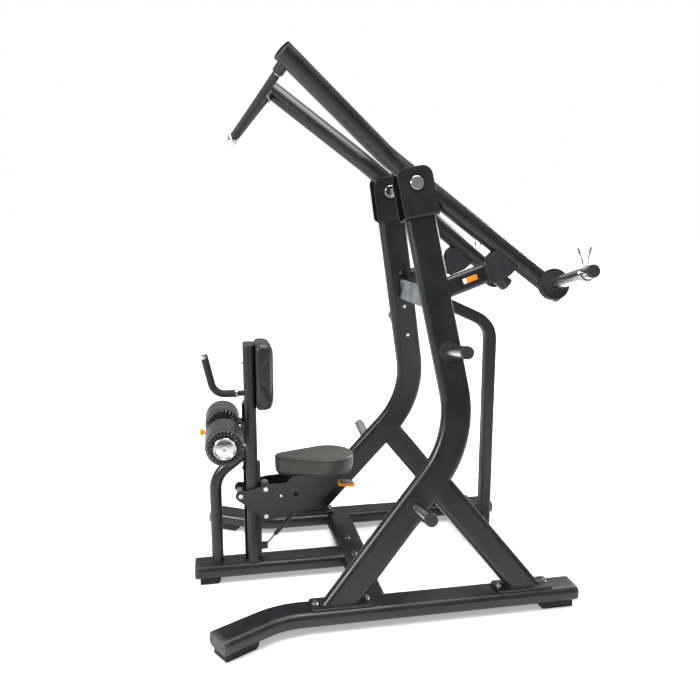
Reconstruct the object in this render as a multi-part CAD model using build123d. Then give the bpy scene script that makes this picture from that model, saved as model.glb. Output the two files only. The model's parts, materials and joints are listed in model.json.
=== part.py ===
from build123d import *
import os
from math import atan2, cos, degrees, radians, sin, tan

# Plate-loaded lat pulldown machine. +X points to the rear (the weights), -Y is the left side of
# the seated user, who faces -X, and +Z is up. The origin is on the floor at the middle.

# base frame, millimetres
OVAL_W = 120.0              # large flat-sided tube, width
OVAL_H = 60.0               # large flat-sided tube, thickness
CORNER_SHARE = 0.4          # corner radius of flat-sided tube, as a share of its thickness
WALL = 3.0                  # steel tube wall
FOOT_H = 28.0               # rubber feet lift the rails this far
HALF_LENGTH = 760.0         # origin to the rear caps and to the front cap of the centre rail
RAIL_Y = 455.0              # side rails, centre line
FLARE_X = -436.0            # corner where each side rail turns outwards
FLARE_ANGLE = 30.0
FLARE_LENGTH = 274.0        # corner to the face of the front cap
FLARE_R = 300.0
CAP_T = 18.0                # plastic end cap of a rail
RAIL_Z = FOOT_H + OVAL_H / 2
RAIL_TOP = FOOT_H + OVAL_H
FRONT_BEAM_X = -62.0        # cross beam under the seat
FRONT_BEAM_END = -150.0     # where the wide part of that beam stops
STUB_W = OVAL_W * 5 / 6     # narrow part, from there to the left rail
STUB_H = 46.0
REAR_BEAM_X = 548.0         # cross beam under the rear post
REAR_POST_W = 50.0          # square tube of the rear post and the rear beam

# leaning side frames
LEAN = 9.0                  # both side frames lean inwards
UPRIGHT_TOP_X = 153.0
UPRIGHT_TOP_Z = 1545.0
UPRIGHT_TILT = 10.2         # upper stretch, from vertical
UPRIGHT_LOW_X = -202.0      # centre line at the base plate
UPRIGHT_SLOPE = 40.7        # lower stretch, from vertical
UPRIGHT_R = 420.0
PLATE_T = 10.0
BRACE_W = OVAL_W - 10
BRACE_LOW_X = 537.0
BRACE_TOP_X = 174.0
BRACE_TOP_Z = 540.0
BADGE_BEAM_X = 230.0
BADGE_BEAM_Z = UPRIGHT_TOP_Z - 315
BADGE_BEAM_H = 100.0
BADGE_BEAM_D = 50.0
BADGE_H = 88.0
ARM_W = 80.0                # stop arms, flat-sided tube
ARM_H = 50.0
STOP_X = 424.0              # rear end of the stop arms
STOP_Z = UPRIGHT_TOP_Z - 209

# lever arms
LEVER_R = 38.0
LEVER_WALL = 3.5
PIVOT_RISE = 130.0          # pivot above the top of the upright, along its axis
PIVOT_OFFSET = 24.0         # pivot below the lever's centre line
LEVER_SLOPE = 37.6          # rear stretch, below horizontal
LEVER_BEND_X = 25.0
LEVER_END_X = 728.0
LEVER_FRONT = (-388.0, -338.0, UPRIGHT_TOP_Z + 572)   # left lever, centre of the open front end
LEVER_BEND_R = 220.0
EAR_GAP = 2 * LEVER_R + 4
EAR_T = 6.0
EAR_W = OVAL_W + 22
EAR_H = 194.0
SHAFT_R = 12.5
HUB_R = 32.0
FIT = 0.05                  # running clearance of shafts and bushes
GAP = 0.3                   # clearance between parts that move past each other
HANDLE_END = (-556.0, -42.0, UPRIGHT_TOP_Z + 301)     # left handle, lower end
HANDLE_R = 14.0
GRIP_R = 19.5
STUB_R = 21.0               # short stub that carries the handle
STUB_BACK = 32.0            # stub axis to the lever's open end

# weight horns
HORN_R = 25.0
SPIGOT_R = 22.0             # horns are turned down where they enter their flange
CAP_R = 23.5
LOAD_HORN_X = 686.0
LOAD_HORN_TILT = 13.5       # load horns rise outwards
LOAD_HORN_L = 338.0
STORE_HORN_L = 215.0
STORE_HEIGHTS = (1030.0, 442.0)
HORN_CAP_L = 14.0
FLANGE_R = 62.0             # load flange, the largest of its three steps
FLANGE_T = 28.0
CLIP_POSITION = 0.835       # share of the load horn's length

# pad post, chest pad, support handle
POST_X = -509.0
POST_D = 50.0
POST_W = 100.0
POST_TOP = 1030.0
STRIP_W = 44.0
FRONT_STRIP_T = 10.0
REAR_STRIP_T = 12.0
LEG_X = -662.0
LEG_R = 25.0
CHEST_W = 190.0
CHEST_LOW = 760.0
CHEST_HIGH = 1050.0
CHEST_T = 68.0
BOARD_T = 12.0
SUPPORT_Z = 826.0
SUPPORT_R = 12.0
SUPPORT_GRIP_R = 15.5

# knee rollers
ROLLER_X = -622.0
ROLLER_Z = 666.0
ROLLER_R = 76.0
ROLLER_IN = 65.0
ROLLER_OUT = 250.0
AXLE_R = 12.5
DISH_R = 45.0
CROSS_R = 20.0              # cross tube between the rollers
CARRIAGE_LOW = 614.0
CARRIAGE_HIGH = 711.0
PIN_R = 6.0
ROLLER_TRAVEL = 60.0

# seat
PLATE_OUT = 60.0            # outer face of the seat plates
SEAT_PLATE_T = 6.0
SEAT_LOW = 474.0
SEAT_HIGH = 546.0
SEAT_NOSE_X = -362.0
SEAT_NOSE_R = 49.0
SEAT_TAIL_X = -180.0
SEAT_TAIL_R = 115.0
FRONT_WHEEL_R = 15.0
REAR_WHEEL_R = 18.0
WHEEL_W = 30.0
WHEEL_AXLE_R = 6.0
FRONT_WHEEL_Z = 394.0
REAR_WHEEL_ZS = (419.0, 298.0)
GAS_FOOT = (-455.0, 140.0)  # lower pivot of the gas spring, x and z
GAS_HEAD = (-259.0, 361.0)  # upper pivot
GAS_MOUTH = 62.0            # lower pivot to the open end of the tube
GAS_ROD_R = 5.0
GAS_TUBE_R = 9.0
LEVER_PIVOT = (-215.0, 402.0)

UPPER_STRIP = (609.0, 780.0)
LOWER_STRIP = (RAIL_TOP + 6, 528.0)
FRONT_FACE = POST_X - POST_D / 2
REAR_FACE = POST_X + POST_D / 2
FRONT_WHEEL_X = FRONT_FACE - FRONT_STRIP_T - FRONT_WHEEL_R
REAR_WHEEL_X = REAR_FACE + REAR_STRIP_T + REAR_WHEEL_R
PLATE_TOP = RAIL_TOP + PLATE_T
HALF_BASE = RAIL_Y + PLATE_TOP * tan(radians(LEAN))     # side plane to centre plane, at the floor

os.makedirs("parts", exist_ok=True)


def save(node, *shapes):
    """Writes one node from one or more solids."""
    solids = [solid for shape in shapes for solid in shape.solids()]
    export_step(solids[0] if len(solids) == 1 else Compound(children=solids), f"parts/{node}.step")


def mirrored(shape):
    return mirror(shape, about=Plane.XZ)


def box(x0, x1, y0, y1, z0, z1):
    """A box from its lowest to its highest corner."""
    middle = ((x0 + x1) / 2, (y0 + y1) / 2, (z0 + z1) / 2)
    return Pos(*middle) * Box(x1 - x0, y1 - y0, z1 - z0)


def rod(start, end, radius):
    """A round bar between two points."""
    start, end = Vector(*start), Vector(*end)
    place = Plane(origin=start, z_dir=end - start)
    return extrude(place * Circle(radius), amount=(end - start).length)


def tube(start, end, radius, bore):
    return rod(start, end, radius) - rod(start, end, bore)


def swept(path, section):
    """Carries a flat section along a path, its first axis across the path in its own plane."""
    tangent = path % 0
    across = Vector(tangent.Y, -tangent.X, 0)
    if across.length < 0.1:
        across = Vector(0, 1, 0)
    return sweep(Plane(origin=path @ 0, x_dir=across, z_dir=tangent) * section, path=path)


def oval(width, height, wall=0.0):
    """Section of a flat-sided tube with well rounded edges, or of its bore."""
    return RectangleRounded(width - 2 * wall, height - 2 * wall, CORNER_SHARE * height - wall)


def oval_tube(path, width, height):
    return swept(path, oval(width, height)) - swept(path, oval(width, height, WALL))


def lean_point(x, z):
    """A point of the side plane, from its x and its height, in the plane's own axes."""
    return (x, z / cos(radians(LEAN)), 0)


lean_plane = Plane(
    origin=(0, -HALF_BASE, 0),
    x_dir=(1, 0, 0),
    z_dir=(0, -cos(radians(LEAN)), sin(radians(LEAN))),
)


def leaning(shape):
    """Puts a shape drawn in the side plane's axes on the left side."""
    return lean_plane.location * shape


# ---- base ----

def rail_path(margin):
    """Centre line of the left side rail, from the rear, ending short of the caps by a margin."""
    reach = FLARE_LENGTH - margin
    front = (FLARE_X - reach * cos(radians(FLARE_ANGLE)), -RAIL_Y - reach * sin(radians(FLARE_ANGLE)))
    points = [(HALF_LENGTH - margin, -RAIL_Y, RAIL_Z), (FLARE_X, -RAIL_Y, RAIL_Z), (*front, RAIL_Z)]
    return FilletPolyline(*points, radius=FLARE_R)


def rail_cap(place):
    """A plug cap whose outer edge is rounded; its place has z pointing out of the tube."""
    cap = extrude(oval(OVAL_W, OVAL_H), amount=CAP_T)
    return place * fillet(cap.faces().sort_by(Axis.Z)[-1].edges(), 8)


def foot(length, width):
    """A rubber foot, with its inner lower edge cut back."""
    side = Polyline((0, 0), (length - 12, 0), (length, 12), (length, FOOT_H), (0, FOOT_H), close=True)
    return extrude(Plane.XZ.offset(-width / 2) * make_face(side), amount=width)


def make_base():
    rail = oval_tube(rail_path(CAP_T), OVAL_W, OVAL_H)
    save("base_rails", rail, mirrored(rail))

    path = rail_path(CAP_T)
    caps = [rail_cap(Plane(origin=path @ 0, x_dir=(0, 1, 0), z_dir=(1, 0, 0)).location)]
    out = path % 1
    caps.append(rail_cap(Plane(origin=path @ 1, x_dir=(-out.Y, out.X, 0), z_dir=out).location))
    centre = Plane(origin=(-HALF_LENGTH + CAP_T, 0, RAIL_Z), x_dir=(0, 1, 0), z_dir=(-1, 0, 0))
    caps += [mirrored(cap) for cap in caps] + [rail_cap(centre.location)]
    caps.append(Pos(FRONT_BEAM_X, FRONT_BEAM_END, RAIL_Z) * Rot(X=-90) * beam_plug())
    caps.append(Pos(POST_X, 0, POST_TOP) * Rot(Z=90) * post_cap())
    save("tube_caps", *caps)

    tip = path @ 1
    front = Pos(tip.X, tip.Y, 0) * Rot(Z=FLARE_ANGLE) * Pos(-8, 0, 0) * foot(140, 84)
    rear = Pos(HALF_LENGTH - CAP_T, -RAIL_Y, 0) * Rot(Z=180) * foot(140, 84)
    middle = Pos(-HALF_LENGTH + CAP_T + 4, 0, 0) * foot(86, 84)
    save("rubber_feet", front, rear, mirrored(front), mirrored(rear), middle)

    rail_solid = swept(path, oval(OVAL_W, OVAL_H))
    wide = Line((FRONT_BEAM_X, RAIL_Y, RAIL_Z), (FRONT_BEAM_X, FRONT_BEAM_END, RAIL_Z))
    wide_beam = oval_tube(wide, OVAL_W, OVAL_H) - mirrored(rail_solid)
    narrow = Line((FRONT_BEAM_X, FRONT_BEAM_END, RAIL_Z), (FRONT_BEAM_X, -RAIL_Y, RAIL_Z))
    stub = oval_tube(narrow, STUB_W, STUB_H) - rail_solid
    save("front_cross_beam", largest(wide_beam), largest(stub))

    rear_line = (REAR_BEAM_X, 0, RAIL_Z)
    beam = Pos(*rear_line) * Rot(X=90) * extrude(square_tube(REAR_POST_W, OVAL_H), amount=RAIL_Y, both=True)
    save("rear_cross_beam", largest(beam - rail_solid - mirrored(rail_solid)))

    beam_face = FRONT_BEAM_X
    line = Line((-HALF_LENGTH + CAP_T, 0, RAIL_Z), (beam_face, 0, RAIL_Z))
    wide_solid = swept(wide, oval(OVAL_W, OVAL_H))
    save("centre_rail", largest(oval_tube(line, OVAL_W, OVAL_H) - wide_solid))


def beam_plug():
    """Plug in the open end of the wide part of the front cross beam."""
    plug = extrude(oval(OVAL_W, OVAL_H, WALL + 0.2), amount=12)
    return plug - extrude(oval(STUB_W, STUB_H), amount=12)


def post_cap():
    cap = extrude(oval(POST_W, POST_D), amount=8)
    return fillet(cap.faces().sort_by(Axis.Z)[-1].edges(), 5)


def square_tube(width, height):
    """A hollow rectangular tube section with rounded corners."""
    outer = RectangleRounded(width, height, 10)
    return outer - RectangleRounded(width - 2 * WALL, height - 2 * WALL, 10 - WALL)


def largest(shape):
    """The biggest solid of a cut shape: what is left inside another tube is dropped."""
    return shape.solids().sort_by(SortBy.VOLUME)[-1]


# ---- side frames ----

def upright_axis():
    """Corner points of the upright's centre line, in the side plane's axes."""
    drop = radians(UPRIGHT_TILT)
    slope = radians(UPRIGHT_SLOPE)
    top_x, top_z, low_x, low_z = UPRIGHT_TOP_X, UPRIGHT_TOP_Z, UPRIGHT_LOW_X, PLATE_TOP
    corner_z = (low_x - top_x - low_z * tan(slope) - top_z * tan(drop)) / -(tan(slope) + tan(drop))
    corner_x = low_x + (corner_z - low_z) * tan(slope)
    under = PLATE_TOP - 60
    start = (low_x + (under - low_z) * tan(slope), under)
    return [lean_point(*start), lean_point(corner_x, corner_z), lean_point(top_x, top_z)]


def upright_path():
    return FilletPolyline(*upright_axis(), radius=UPRIGHT_R)


def below(height):
    return box(-2000, 2000, -2000, 2000, height - 2000, height)


def upright_solid():
    return leaning(swept(upright_path(), oval(OVAL_W, OVAL_H)))


def brace_path():
    slope = (BRACE_TOP_X - BRACE_LOW_X) / (BRACE_TOP_Z - PLATE_TOP)
    low = PLATE_TOP - 60
    start = (BRACE_LOW_X + slope * (low - PLATE_TOP), low)
    return Line(lean_point(*start), lean_point(BRACE_TOP_X, BRACE_TOP_Z))


def make_side_frames():
    upright = leaning(oval_tube(upright_path(), OVAL_W, OVAL_H)) - below(PLATE_TOP)
    save("uprights", upright, mirrored(upright))
    brace = leaning(oval_tube(brace_path(), BRACE_W, OVAL_H)) - below(PLATE_TOP) - upright_solid()
    brace = largest(brace)
    save("braces", brace, mirrored(brace))

    plates = []
    bolts = []
    for x, length in ((UPRIGHT_LOW_X, 244), (BRACE_LOW_X, 234)):
        plate = Pos(x, -RAIL_Y, RAIL_TOP) * extrude(RectangleRounded(length, 90, 14), amount=PLATE_T)
        plates.append(plate)
        bolts += [hex_bolt(x + side * (length / 2 - 22), -RAIL_Y, PLATE_TOP) for side in (-1, 1)]
    save("base_plates", *plates, *[mirrored(plate) for plate in plates])
    bolts += [mirrored(bolt) for bolt in bolts]
    bolts += [hex_bolt(FRONT_BEAM_X - 8, y, RAIL_TOP) for y in (113, -51)]
    save("frame_bolts", *bolts, *button_screws())


def button_screws():
    """Round-headed screws on the post, its strips and the inner faces of the uprights."""
    screws = []
    strip = FRONT_FACE - FRONT_STRIP_T
    for z, x in ((955, FRONT_FACE), (790, FRONT_FACE), (500, strip), (215, strip)):
        screws.append(Pos(x, 0, z) * Rot(Y=-90) * extrude(Circle(7), amount=7))
    for drop in (237, 394, 532):
        x = UPRIGHT_TOP_X + drop * tan(radians(UPRIGHT_TILT)) + 3
        place = Pos(*lean_point(x, UPRIGHT_TOP_Z - drop)) * Pos(0, 0, -OVAL_H / 2 - 4)
        screw = leaning(place * extrude(Circle(8), amount=4))
        screws += [screw, mirrored(screw)]
    return screws


def hex_bolt(x, y, z):
    """A bolt head on its washer, standing on a level face."""
    washer = extrude(Circle(13), amount=2.5)
    head = Pos(0, 0, 2.5) * extrude(RegularPolygon(10, 6), amount=8)
    return Pos(x, y, z) * (washer + head)


# ---- pivot brackets ----

def axis_frame():
    """Location at the top of the upright: x to the rear, z along the upright."""
    path = upright_path()
    along = path % 1
    return Plane(origin=path @ 1, x_dir=(along.Y, -along.X, 0), z_dir=along).location


def pivot_point():
    """Pivot in the side plane's axes."""
    return (axis_frame() * Location((0, 0, PIVOT_RISE))).position


def make_brackets():
    half = EAR_GAP / 2 + EAR_T
    outline = Pos(0, EAR_H / 2) * RectangleRounded(EAR_W, EAR_H, 40)
    outline += Pos(0, EAR_H / 4) * Rectangle(EAR_W, EAR_H / 2)
    ears = extrude(Plane.XZ * outline, amount=half, both=True)
    section = Pos(0, 150) * Rectangle(2 * half, 300) - Pos(0, 150 + EAR_T) * Rectangle(EAR_GAP, 300)
    section = fillet(section.vertices().sort_by(Axis.Y)[:2], 12)
    channel = extrude(Plane.YZ * section, amount=EAR_W, both=True)
    bracket = ears & channel
    bracket -= Pos(0, 0, PIVOT_RISE) * Rot(X=90) * Cylinder(SHAFT_R, 4 * half)
    bracket = leaning(axis_frame() * bracket)
    save("pivot_brackets", bracket, mirrored(bracket))

    head = Pos(0, 0, half) * extrude(Circle(27), amount=9)
    head = fillet(head.edges().group_by(Axis.Z)[-1], 4)
    head -= Pos(0, 0, half + 5) * extrude(RegularPolygon(9, 6), amount=6)
    shaft = extrude(Circle(SHAFT_R), amount=half, both=True)
    pin = shaft + head + mirror(head, about=Plane.XY)
    pin = leaning(Location(pivot_point()) * pin)
    save("pivot_shafts", pin, mirrored(pin))

    bush = extrude(Circle(21) - Circle(SHAFT_R), amount=20)
    near = Location(pivot_point()) * Pos(0, 0, EAR_GAP / 2 - 20.5) * bush
    far = Location(pivot_point()) * Pos(0, 0, -EAR_GAP / 2 + 0.5) * bush
    bushes = [leaning(near), leaning(far)]
    save("lever_bushes", *bushes, *[mirrored(item) for item in bushes])


# ---- head beam, badge, rear post, stops ----

def make_head():
    uprights = [upright_solid(), mirrored(upright_solid())]
    place = Pos(BADGE_BEAM_X, 0, BADGE_BEAM_Z) * Rot(X=90)
    beam = place * extrude(square_tube(BADGE_BEAM_D, BADGE_BEAM_H), amount=HALF_BASE, both=True)
    arms = leaning(swept(stop_path(), oval(ARM_W, ARM_H)))
    for item in (*uprights, arms, mirrored(arms)):
        beam -= item
    beam = [solid for solid in beam.solids() if abs(solid.center().Y) < 50][0]
    save("badge_beam", beam)

    front = BADGE_BEAM_X - BADGE_BEAM_D / 2
    high = BADGE_BEAM_Z + BADGE_H / 2
    edge = HALF_BASE - high * tan(radians(LEAN)) - OVAL_H / 2 / cos(radians(LEAN)) - 4
    panel = extrude(RectangleRounded(BADGE_H, 2 * edge - 35, 12), amount=5)
    save("badge_panel", Pos(front, 17.5, BADGE_BEAM_Z) * Rot(Y=-90) * panel)

    half = REAR_POST_W / 2
    start_x = BADGE_BEAM_X + BADGE_BEAM_D / 2
    drop = tan(radians(25)) * (REAR_BEAM_X - start_x)
    corner = (REAR_BEAM_X, 0, BADGE_BEAM_Z - drop)
    path = FilletPolyline((start_x - 30, 0, BADGE_BEAM_Z + 10), corner, (REAR_BEAM_X, 0, RAIL_TOP), radius=110)
    outer = sweep_flat(path, RectangleRounded(REAR_POST_W, REAR_POST_W, 10))
    inner = sweep_flat(path, RectangleRounded(REAR_POST_W - 2 * WALL, REAR_POST_W - 2 * WALL, 10 - WALL))
    post = (outer - inner) - box(0, start_x, -half, half, 0, 2000)
    save("rear_post", largest(post))

    arm_path = stop_path()
    arm = leaning(oval_tube(arm_path, ARM_W, ARM_H)) - uprights[0]
    arm = largest(arm)
    save("stop_arms", arm, mirrored(arm))
    block = stop_block()
    save("stop_bumpers", block, mirrored(block))


def sweep_flat(path, section):
    """Sweep along a path in the centre plane."""
    return sweep(Plane(origin=path @ 0, x_dir=(0, 1, 0), z_dir=path % 0) * section, path=path)


def stop_path():
    """Centre line of the left stop arm, from inside the upright to its rear end."""
    return Line(lean_point(195, STOP_Z - 80), lean_point(STOP_X, STOP_Z))


def stop_block():
    """Rubber bumper: a sleeve round the arm's end and a block whose top cradles the lever."""
    path = stop_path()
    start, end = path @ 0, path @ 1
    angle = degrees(atan2(end.Y - start.Y, end.X - start.X))
    rise = 1 / cos(radians(LEAN))
    corners = [(0, 60), (31, 88), (117, 14), (84, -16), (21, -42), (-24, -56)]
    outline = make_face(Polyline(*[(STOP_X + x, (STOP_Z + z) * rise) for x, z in corners], close=True))
    outline = fillet(outline.vertices(), 5)
    block = extrude(outline, amount=30, both=True)
    keep = Pos(end.X, end.Y) * Rot(Z=angle) * (Pos(200, 0) * Box(400, 800, 200))
    sleeve = swept(Line(start + (end - start) * 0.93, end), oval(ARM_W + 6, ARM_H + 6))
    block = (block & keep) + (sleeve - swept(path, oval(ARM_W, ARM_H)))
    clear = swept(lever_axis_line(), Circle(LEVER_R + GAP))
    return leaning(block - clear)


# ---- levers ----

def lever_line_z(x):
    """Height of the rear stretch's centre line over the side plane, at x."""
    pivot = pivot_point()
    slope = radians(LEVER_SLOPE)
    along = (x - pivot.X) * tan(slope)
    return pivot.Y + PIVOT_OFFSET / cos(slope) - along


def lever_axis_line():
    """Rear stretch of the lever, in the side plane's axes."""
    return Line((LEVER_END_X, lever_line_z(LEVER_END_X), 0), (LEVER_BEND_X, lever_line_z(LEVER_BEND_X), 0))


def lever_path():
    """Whole centre line of the left lever, in the row's axes."""
    rear, bend = [lean_plane.from_local_coords(point) for point in (
        (LEVER_END_X, lever_line_z(LEVER_END_X), 0), (LEVER_BEND_X, lever_line_z(LEVER_BEND_X), 0))]
    return FilletPolyline(rear, bend, LEVER_FRONT, radius=LEVER_BEND_R)


def round_swept(path, radius):
    return sweep(Plane(origin=path @ 0, z_dir=path % 0) * Circle(radius), path=path)


def stub_ends():
    """Start and end of the short stub under the lever's front end, towards the handle's end."""
    path = lever_path()
    front = path @ 1
    start = front - (path % 1) * STUB_BACK
    direction = (Vector(*HANDLE_END) - start).normalized()
    return start, start + direction * (LEVER_R + 34), direction


def make_levers():
    path = lever_path()
    solid = round_swept(path, LEVER_R)
    bore = round_swept(path, LEVER_R - LEVER_WALL)
    pivot = Location(pivot_point())
    hub = leaning(pivot * extrude(Circle(HUB_R), amount=EAR_GAP / 2 - 1, both=True))
    hub_bore = leaning(pivot * extrude(Circle(21 + FIT), amount=EAR_GAP, both=True))
    stub_start, stub_end, direction = stub_ends()
    stub = rod(stub_start, stub_end, STUB_R) - solid
    stub = largest(stub)
    lever = (solid - bore) + hub - hub_bore + stub
    for side, flip in (("left", False), ("right", True)):
        def put(name, *shapes):
            save(f"{name}_{side}", *[mirrored(shape) if flip else shape for shape in shapes])

        put("lever", lever)
        front_cap = rod(path @ 1 - (path % 1) * 12, path @ 1 - (path % 1) * 5, LEVER_R - LEVER_WALL)
        rear_cap = extrude(Circle(LEVER_R), amount=10)
        rear_cap = fillet(rear_cap.faces().sort_by(Axis.Z)[-1].edges(), 7)
        rear_cap = Plane(origin=path @ 0, z_dir=-(path % 0)).location * rear_cap

        end = Vector(*HANDLE_END)
        put("handle_bar", rod(stub_end, end, HANDLE_R) + rod(end - direction * 14, end, GRIP_R))
        put("handle_grip", tube(stub_end + direction * 3, end - direction * 14, GRIP_R, HANDLE_R))

        base, out = load_horn()
        face = base + out * (LEVER_R + FLANGE_T)
        tip = base + out * LOAD_HORN_L
        horn = rod(base, face + out, SPIGOT_R) + rod(face + out * 0.5, tip, HORN_R) - solid
        put("load_horn", largest(horn))
        flange = load_flange(base, out, face) - solid
        flange -= rod(path @ 0, path @ 0 - (path % 0) * 30, LEVER_R)
        put("load_flange", largest(flange))
        put("lever_caps", front_cap, rear_cap, rod(tip, tip + out * HORN_CAP_L, CAP_R))
        put("spring_clip", spring_clip(base, out))


def load_horn():
    """Point on the lever's centre line and the direction of the left load horn."""
    base = lean_plane.from_local_coords((LOAD_HORN_X, lever_line_z(LOAD_HORN_X), 0))
    tilt = radians(LOAD_HORN_TILT)
    return base, Vector(0, -cos(tilt), sin(tilt))


def load_flange(base, out, face):
    """Stepped rubber flange between the lever and the plates, bored for the horn's spigot."""
    flange = rod(base + out * LEVER_R * 0.6, face - out * 14, FLANGE_R)
    flange += rod(face - out * 15, face - out * 6, FLANGE_R * 0.78)
    flange += rod(face - out * 7, face, FLANGE_R * 0.58)
    return flange - rod(base, face, SPIGOT_R)


def spring_clip(base, out):
    """Spring clip on the load horn: a coil body and two wire handles with grips."""
    wire = 2.5
    middle = base + out * (LOAD_HORN_L * CLIP_POSITION)
    across = Vector(1, 0, 0)
    up = across.cross(out).normalized()
    if up.Z < 0:
        up = up * -1
    coil = tube(middle - out * 7, middle + out * 7, HORN_R + GAP + 2 * wire, HORN_R + GAP)
    clip = coil
    for side, shift in ((-1, 4), (1, -4)):
        low = middle + out * shift + up * (HORN_R + wire) + across * (side * 3)
        knee = low + up * 26 + across * (side * 9)
        top = knee + up * 46 + across * (side * 18)
        path = FilletPolyline(low, knee, top, radius=25)
        clip += round_swept(path, wire)
        clip += rod(top - (path % 1) * 34, top, 2 * wire)
    return clip


# ---- storage horns ----

def make_storage():
    horns = []
    flanges = []
    caps = []
    upper, lower = STORE_HEIGHTS
    upper_x = UPRIGHT_TOP_X + (UPRIGHT_TOP_Z - upper) * tan(radians(UPRIGHT_TILT))
    lower_x = UPRIGHT_LOW_X + (lower - PLATE_TOP) * tan(radians(UPRIGHT_SLOPE))
    for x, z in ((upper_x, upper), (lower_x, lower)):
        place = Pos(*lean_point(x, z)) * Pos(0, 0, OVAL_H / 2)
        horn = extrude(Circle(SPIGOT_R), amount=9)
        horn += Pos(0, 0, 8.5) * extrude(Circle(HORN_R), amount=STORE_HORN_L - HORN_CAP_L - 8.5)
        horns.append(leaning(place * horn))
        flanges.append(leaning(place * extrude(Circle(40) - Circle(SPIGOT_R), amount=8)))
        end = place * Pos(0, 0, STORE_HORN_L - HORN_CAP_L)
        caps.append(leaning(end * extrude(Circle(CAP_R), amount=HORN_CAP_L)))
    save("storage_horns", *horns, *[mirrored(item) for item in horns])
    save("storage_flanges", *flanges, *[mirrored(item) for item in flanges])
    save("storage_caps", *caps, *[mirrored(item) for item in caps])


# ---- pad post ----

def dovetail(clearance):
    """Front strip section seen from above: wider at its front face."""
    front = STRIP_W / 2 + clearance
    back = STRIP_W / 2 - 6 + clearance
    x0, x1 = FRONT_FACE, FRONT_FACE - FRONT_STRIP_T - clearance
    return make_face(Polyline((x0, back), (x0, -back), (x1, -front), (x1, front), close=True))


def pin_groove():
    """Groove in the front strip that the pull pin rides in, as long as the rollers' travel."""
    half = PIN_R + 0.5
    x0, x1 = FRONT_FACE - FRONT_STRIP_T - 1, FRONT_FACE - 1
    return box(x0, x1, -half, half, ROLLER_Z - half, ROLLER_Z + ROLLER_TRAVEL + half)


def make_post():
    place = Pos(POST_X, 0, RAIL_TOP) * Rot(Z=90)
    outer = place * extrude(oval(POST_W, POST_D), amount=POST_TOP - RAIL_TOP)
    inner = place * extrude(oval(POST_W, POST_D, WALL), amount=POST_TOP - RAIL_TOP)
    save("pad_post", outer - inner, gas_bracket())

    low, high = UPPER_STRIP
    upper = Pos(0, 0, low) * extrude(dovetail(0), amount=high - low) - pin_groove()
    low, high = LOWER_STRIP
    lower = Pos(0, 0, low) * extrude(dovetail(0), amount=high - low)
    rear = box(REAR_FACE, REAR_FACE + REAR_STRIP_T, -STRIP_W / 2 + 2, STRIP_W / 2 - 2, low, 522)
    save("guide_strips", upper, lower, rear)

    leg_end = (POST_X, 0, 586)
    leg_path = FilletPolyline((LEG_X, 0, RAIL_TOP), (LEG_X, 0, 472), leg_end, radius=120)
    leg = sweep_flat(leg_path, Circle(LEG_R)) - sweep_flat(leg_path, Circle(LEG_R - WALL)) - outer
    save("front_leg", largest(leg))


def gas_bracket():
    """Two ears and a pin for the lower end of the gas spring."""
    x, z = GAS_FOOT
    face = REAR_FACE + REAR_STRIP_T
    bracket = box(face, face + 4, -12, 12, z - 12, z + 12)
    for y in (-12, 8):
        bracket += box(face, x + 9, y, y + 4, z - 12, z + 12)
    return bracket + rod((x, -12, z), (x, 12, z), 4)


def make_chest_pad():
    middle = (CHEST_LOW + CHEST_HIGH) / 2
    height = CHEST_HIGH - CHEST_LOW
    place = Pos(REAR_FACE, 0, middle) * Rot(Y=90)
    board = place * extrude(RectangleRounded(height - 24, CHEST_W - 24, 24), amount=BOARD_T)
    save("chest_pad_board", board)
    pad = place * extrude(RectangleRounded(height, CHEST_W, 36), amount=CHEST_T)
    pad = fillet(pad.faces().sort_by(Axis.X)[-1].edges(), 18)
    save("chest_pad", pad - board)


def make_support():
    points = [(FRONT_FACE, 0, SUPPORT_Z), (-655, 0, SUPPORT_Z), (-692, 0, 990)]
    path = FilletPolyline(*points, radius=55)
    bar = sweep_flat(path, Circle(SUPPORT_R))
    save("support_handle", bar)
    start, end = Vector(FRONT_FACE - 34, 0, SUPPORT_Z), path @ 1 - (path % 1) * 12
    grip_path = FilletPolyline(start, (-655, 0, SUPPORT_Z), end, radius=55)
    grip = sweep_flat(grip_path, Circle(SUPPORT_GRIP_R)) - sweep_flat(grip_path, Circle(SUPPORT_R))
    save("support_grip", grip)
    ring = tube(start + Vector(8, 0, 0), start, SUPPORT_GRIP_R + 2, SUPPORT_R)
    collar = tube(end, path @ 1, SUPPORT_GRIP_R, SUPPORT_R)
    save("support_trim", ring, collar + rod(path @ 1, path @ 1 + (path % 1) * 3, SUPPORT_GRIP_R))


# ---- knee rollers ----

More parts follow.
